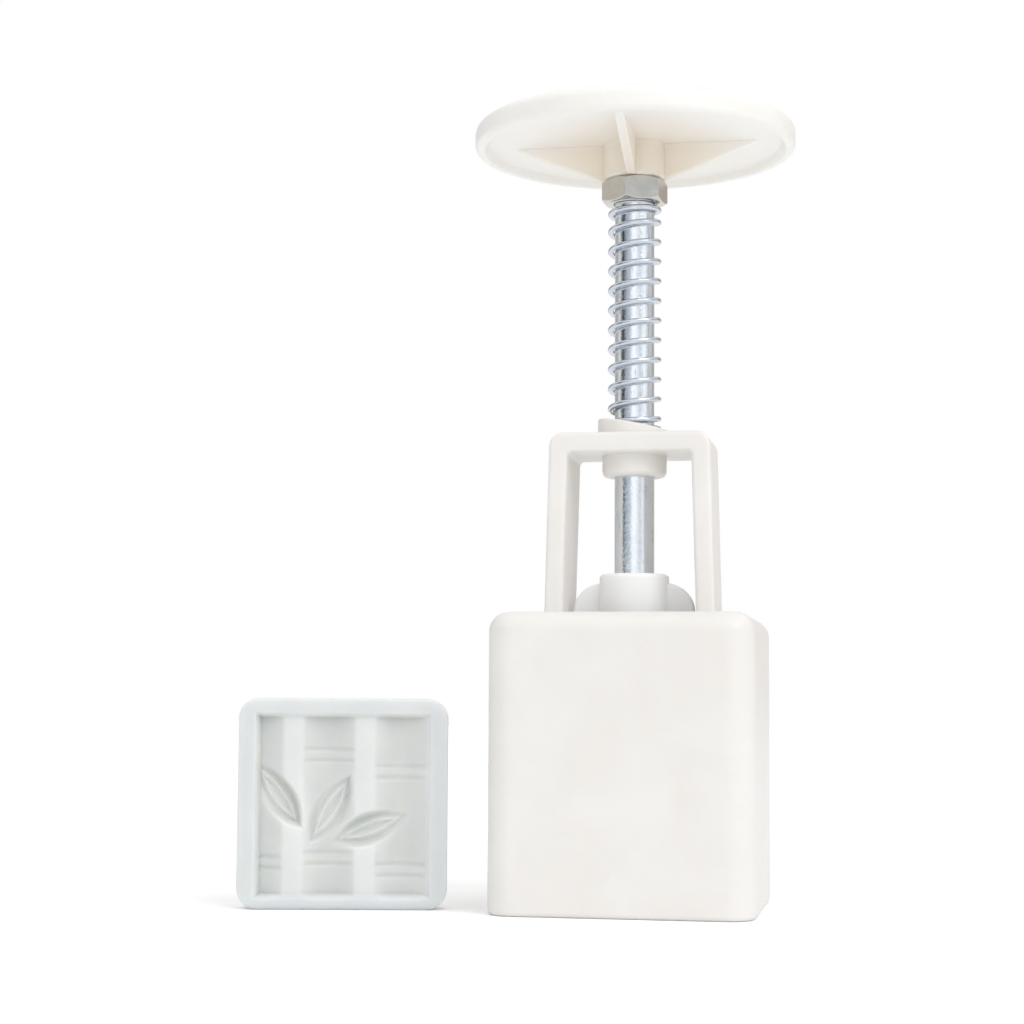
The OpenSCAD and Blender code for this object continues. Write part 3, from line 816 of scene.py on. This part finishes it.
# It stands on its edge to the left of the press, turned by 12 degrees.
stamp_cos, stamp_sin = math.cos(math.radians(12)), math.sin(math.radians(12))
stamp_turn = np.array([[stamp_cos, -stamp_sin, 0], [stamp_sin, stamp_cos, 0], [0, 0, 1]])
stamp_middle = np.array([-54.7, -20.0, 20.5])
stamp = add_piece(
    "bamboo_stamp",
    [(points @ stamp_turn.T + stamp_middle, faces) for points, faces in (block, collar)],
    "stamp",
    ["pattern_stamp"],
)
# How deep each point of the face is sunk, as a share of the deepest leaf, for the light and shade
# painted on the face.
flat = np.empty(len(stamp.data.vertices) * 3)
stamp.data.vertices.foreach_get("co", flat)
x, y, z = ((flat.reshape(-1, 3) / MM - stamp_middle) @ stamp_turn).T
in_field = (np.abs(x) < 17.4) & (np.abs(z) < 18.6) & (y < 3.5)
sunk_share = stamp.data.attributes.new("sunk_share", "FLOAT", "POINT")
sunk_share.data.foreach_set("value", np.where(in_field, y / leaf_floor, 0).astype(np.float32))

# On the half clear plastic, light and shade are painted by depth: the ridges whitest, the sunk
# hollows and leaves greyer, for the shade that falls in them.
frosted = moulded_plastic("frosted_polypropylene", "#f6f7f8", "#f0f2f3", 10, 0.42, 0.9, 3.5)
stamp.data.materials.append(frosted)
frosted_tree = frosted.node_tree
frosted_skin = frosted_tree.nodes["Principled BSDF"]
sunk_by = add_node(frosted_tree, "ShaderNodeAttribute", {"attribute_name": "sunk_share"})
# Tones of the painted light and shade, from the rim over the ridges down to the leaves' floors.
wall = add_node(frosted_tree, "ShaderNodeValToRGB", {}, {"Fac": sunk_by.outputs["Fac"]})
wall.color_ramp.interpolation = "EASE"
wall.color_ramp.elements[0].color = linear("#e6e9ea")
wall.color_ramp.elements[1].color = linear("#e9eae7")
for at, tone in ((0.06, "#e6e9ea"), (0.22, "#eff0ef"), (0.45, "#e9eae8"), (0.83, "#e4e5e2")):
    wall.color_ramp.elements.new(at).color = linear(tone)
# The base colour multiplied by the painted light and shade.
painted_depth_shade = add_node(
    frosted_tree,
    "ShaderNodeMix",
    {"data_type": "RGBA", "blend_type": "MULTIPLY", 0: 1.0},
    {6: frosted_skin.inputs["Base Color"].links[0].from_socket, 7: wall.outputs["Color"]},
)
frosted_tree.links.new(painted_depth_shade.outputs[2], frosted_skin.inputs["Base Color"])


# ------------------------------------------------------------------ the white paper and the light
# The press stands on white paper in soft daylight: a bright ceiling over a dimmer horizon, a
# large window high on the right in front, and a reflector beside the camera. The plated steel
# mirrors the grey screens of the studio.
paper_mesh = bpy.data.meshes.new("white_paper")
far = 4
paper_corners = [(-far, -far, 0), (far, -far, 0), (far, far, 0), (-far, far, 0)]
paper_mesh.from_pydata(paper_corners, [], [(0, 1, 2, 3)])
paper = bpy.data.objects.new("white_paper", paper_mesh)
bpy.context.scene.collection.objects.link(paper)
paper_finish = bpy.data.materials.new("white_paper")
paper_finish.use_nodes = True
paper_mesh.materials.append(paper_finish)
paper_tree = paper_finish.node_tree
sheet = paper_tree.nodes["Principled BSDF"]
sheet.inputs["Roughness"].default_value = 0.9
sheet.inputs["Specular IOR Level"].default_value = 0.1
paper_rays = add_node(paper_tree, "ShaderNodeLightPath")
seen_white = add_node(
    paper_tree,
    "ShaderNodeMath",
    {"operation": "MAXIMUM"},
    {0: paper_rays.outputs["Is Camera Ray"], 1: paper_rays.outputs["Is Glossy Ray"]},
)
paper_tone = add_node(
    paper_tree,
    "ShaderNodeMix",
    {"data_type": "RGBA", 6: linear("#fafafa"), 7: (1, 1, 1, 1)},
    {0: seen_white.outputs["Value"]},
)
paper_tree.links.new(paper_tone.outputs[2], sheet.inputs["Base Color"])
# To the eye the paper is lit up to white, and the object's shadow stays on it.
glare = add_node(
    paper_tree,
    "ShaderNodeMath",
    {"operation": "MULTIPLY", 1: 0.12},
    {0: paper_rays.outputs["Is Camera Ray"]},
)
paper_tree.links.new(glare.outputs["Value"], sheet.inputs["Emission Strength"])
sheet.inputs["Emission Color"].default_value = (1, 1, 1, 1)

world = bpy.data.worlds.new("daylight")
bpy.context.scene.world = world
world.use_nodes = True
sky_tree = world.node_tree
sky = sky_tree.nodes["Background"]
sky_rays = add_node(sky_tree, "ShaderNodeLightPath")
mirrored = add_node(
    sky_tree,
    "ShaderNodeMath",
    {"operation": "MAXIMUM"},
    {0: sky_rays.outputs["Is Glossy Ray"], 1: sky_rays.outputs["Is Transmission Ray"]},
)
seen_sky = add_node(
    sky_tree,
    "ShaderNodeMath",
    {"operation": "MAXIMUM"},
    {0: sky_rays.outputs["Is Camera Ray"], 1: mirrored.outputs["Value"]},
)
direction = add_node(sky_tree, "ShaderNodeTexCoord").outputs["Generated"]
parts = add_node(sky_tree, "ShaderNodeSeparateXYZ", {}, {0: direction})
# The sky lights the press from a dimmer horizon to a bright ceiling.
brightening = add_node(
    sky_tree, "ShaderNodeMapRange", {"To Min": 0.36, "To Max": 1.05}, {"Value": parts.outputs["Z"]}
)
strength = add_node(
    sky_tree,
    "ShaderNodeMix",
    {"data_type": "FLOAT", 3: 1.0},
    {0: seen_sky.outputs["Value"], 2: brightening.outputs["Result"]},
)
sky_tree.links.new(strength.outputs[0], sky.inputs["Strength"])
# Mirror rays meet the studio that stood round the press: grey screens with a dark gap between
# them on the left, and pale walls with a few greyer parts elsewhere. The tones go round from the
# front, -Y, clockwise as seen from above, and the ceiling over them is white.
bearing = add_node(
    sky_tree,
    "ShaderNodeMath",
    {"operation": "ARCTAN2"},
    {0: parts.outputs["X"], 1: parts.outputs["Y"]},
)
turn_share = add_node(
    sky_tree,
    "ShaderNodeMapRange",
    {"From Min": -math.pi, "From Max": math.pi},
    {"Value": bearing.outputs["Value"]},
)
screens = add_node(sky_tree, "ShaderNodeValToRGB", {}, {"Fac": turn_share.outputs["Result"]})
tones = screens.color_ramp
for at, tone in (
    (0.018, "#ffffff"), (0.04, "#bdc8d1"), (0.065, "#9daab5"), (0.13, "#73818d"),
    (0.155, "#20272d"), (0.195, "#20272d"), (0.215, "#8d979f"), (0.235, "#eee7dc"),
    (0.265, "#eee7dc"), (0.3, "#b5b8ba"), (0.364, "#a8abad"), (0.48, "#dfdfdf"),
    (0.56, "#cfc3b4"), (0.604, "#9fa2a5"), (0.66, "#c9c8c5"), (0.698, "#dcdddd"),
    (0.744, "#979da3"), (0.79, "#eceff2"), (0.83, "#f7f9fb"), (0.87, "#c2c8ce"),
    (0.891, "#a6adb4"), (0.915, "#cdd3d9"), (0.945, "#eaeef1"), (0.968, "#ffffff"),
):
    tones.elements.new(at).color = linear(tone)
tones.elements[0].color = (1, 1, 1, 1)
upward = add_node(
    sky_tree, "ShaderNodeMath", {"operation": "ABSOLUTE"}, {0: parts.outputs["Z"]}
)
overhead = add_node(
    sky_tree,
    "ShaderNodeMapRange",
    {"From Min": 0.35, "From Max": 0.75},
    {"Value": upward.outputs["Value"]},
)
around = add_node(
    sky_tree,
    "ShaderNodeMix",
    {"data_type": "RGBA", 7: (1, 1, 1, 1)},
    {0: overhead.outputs["Result"], 6: screens.outputs["Color"]},
)
sky_tone = add_node(
    sky_tree,
    "ShaderNodeMix",
    {"data_type": "RGBA", 6: (1, 1, 1, 1)},
    {0: mirrored.outputs["Value"], 7: around.outputs[2]},
)
sky_tree.links.new(sky_tone.outputs[2], sky.inputs["Color"])

# The window lights the press from high on the right. The reflector opens the shade under the
# handle and behind the arch.
for lamp_name, level, spread, towards in (
    ("window", 0.7, 40, (0.75, -0.7, 0.8)),
    ("reflector", 0.55, 150, (0.4, -1.0, 0.1)),
):
    sun = bpy.data.lights.new(lamp_name, "SUN")
    sun.energy, sun.angle = level, math.radians(spread)
    lamp = bpy.data.objects.new(lamp_name, sun)
    bpy.context.scene.collection.objects.link(lamp)
    lamp.rotation_euler = Vector(towards).to_track_quat("Z", "Y").to_euler()


# ------------------------------------------------------------------ the camera
# The camera's place, heading, pitch, roll and lens were solved from the photographed outlines.
camera = bpy.data.objects.new("camera", bpy.data.cameras.new("camera"))
bpy.context.scene.collection.objects.link(camera)
bpy.context.scene.camera = camera
sensor_mm, focal_pixels, picture_pixels = 36, 2136.2, 1024
camera.data.sensor_width = sensor_mm
camera.data.lens = sensor_mm * focal_pixels / picture_pixels
camera.data.clip_start = 0.01
azimuth, heading, pitch, roll = (math.radians(a) for a in (7.11, 7.11 + 3.294, 5.185, 0.364))
eye_away, eye_up = 430.57, 39.71
eye = Vector((eye_away * math.sin(azimuth), -eye_away * math.cos(azimuth), eye_up)) * MM
camera.matrix_world = (
    Matrix.Translation(eye)
    @ Matrix.Rotation(heading, 4, "Z")
    @ Matrix.Rotation(math.pi / 2 + pitch, 4, "X")
    @ Matrix.Rotation(roll, 4, "Z")
)

bpy.context.scene.view_settings.view_transform = "Standard"
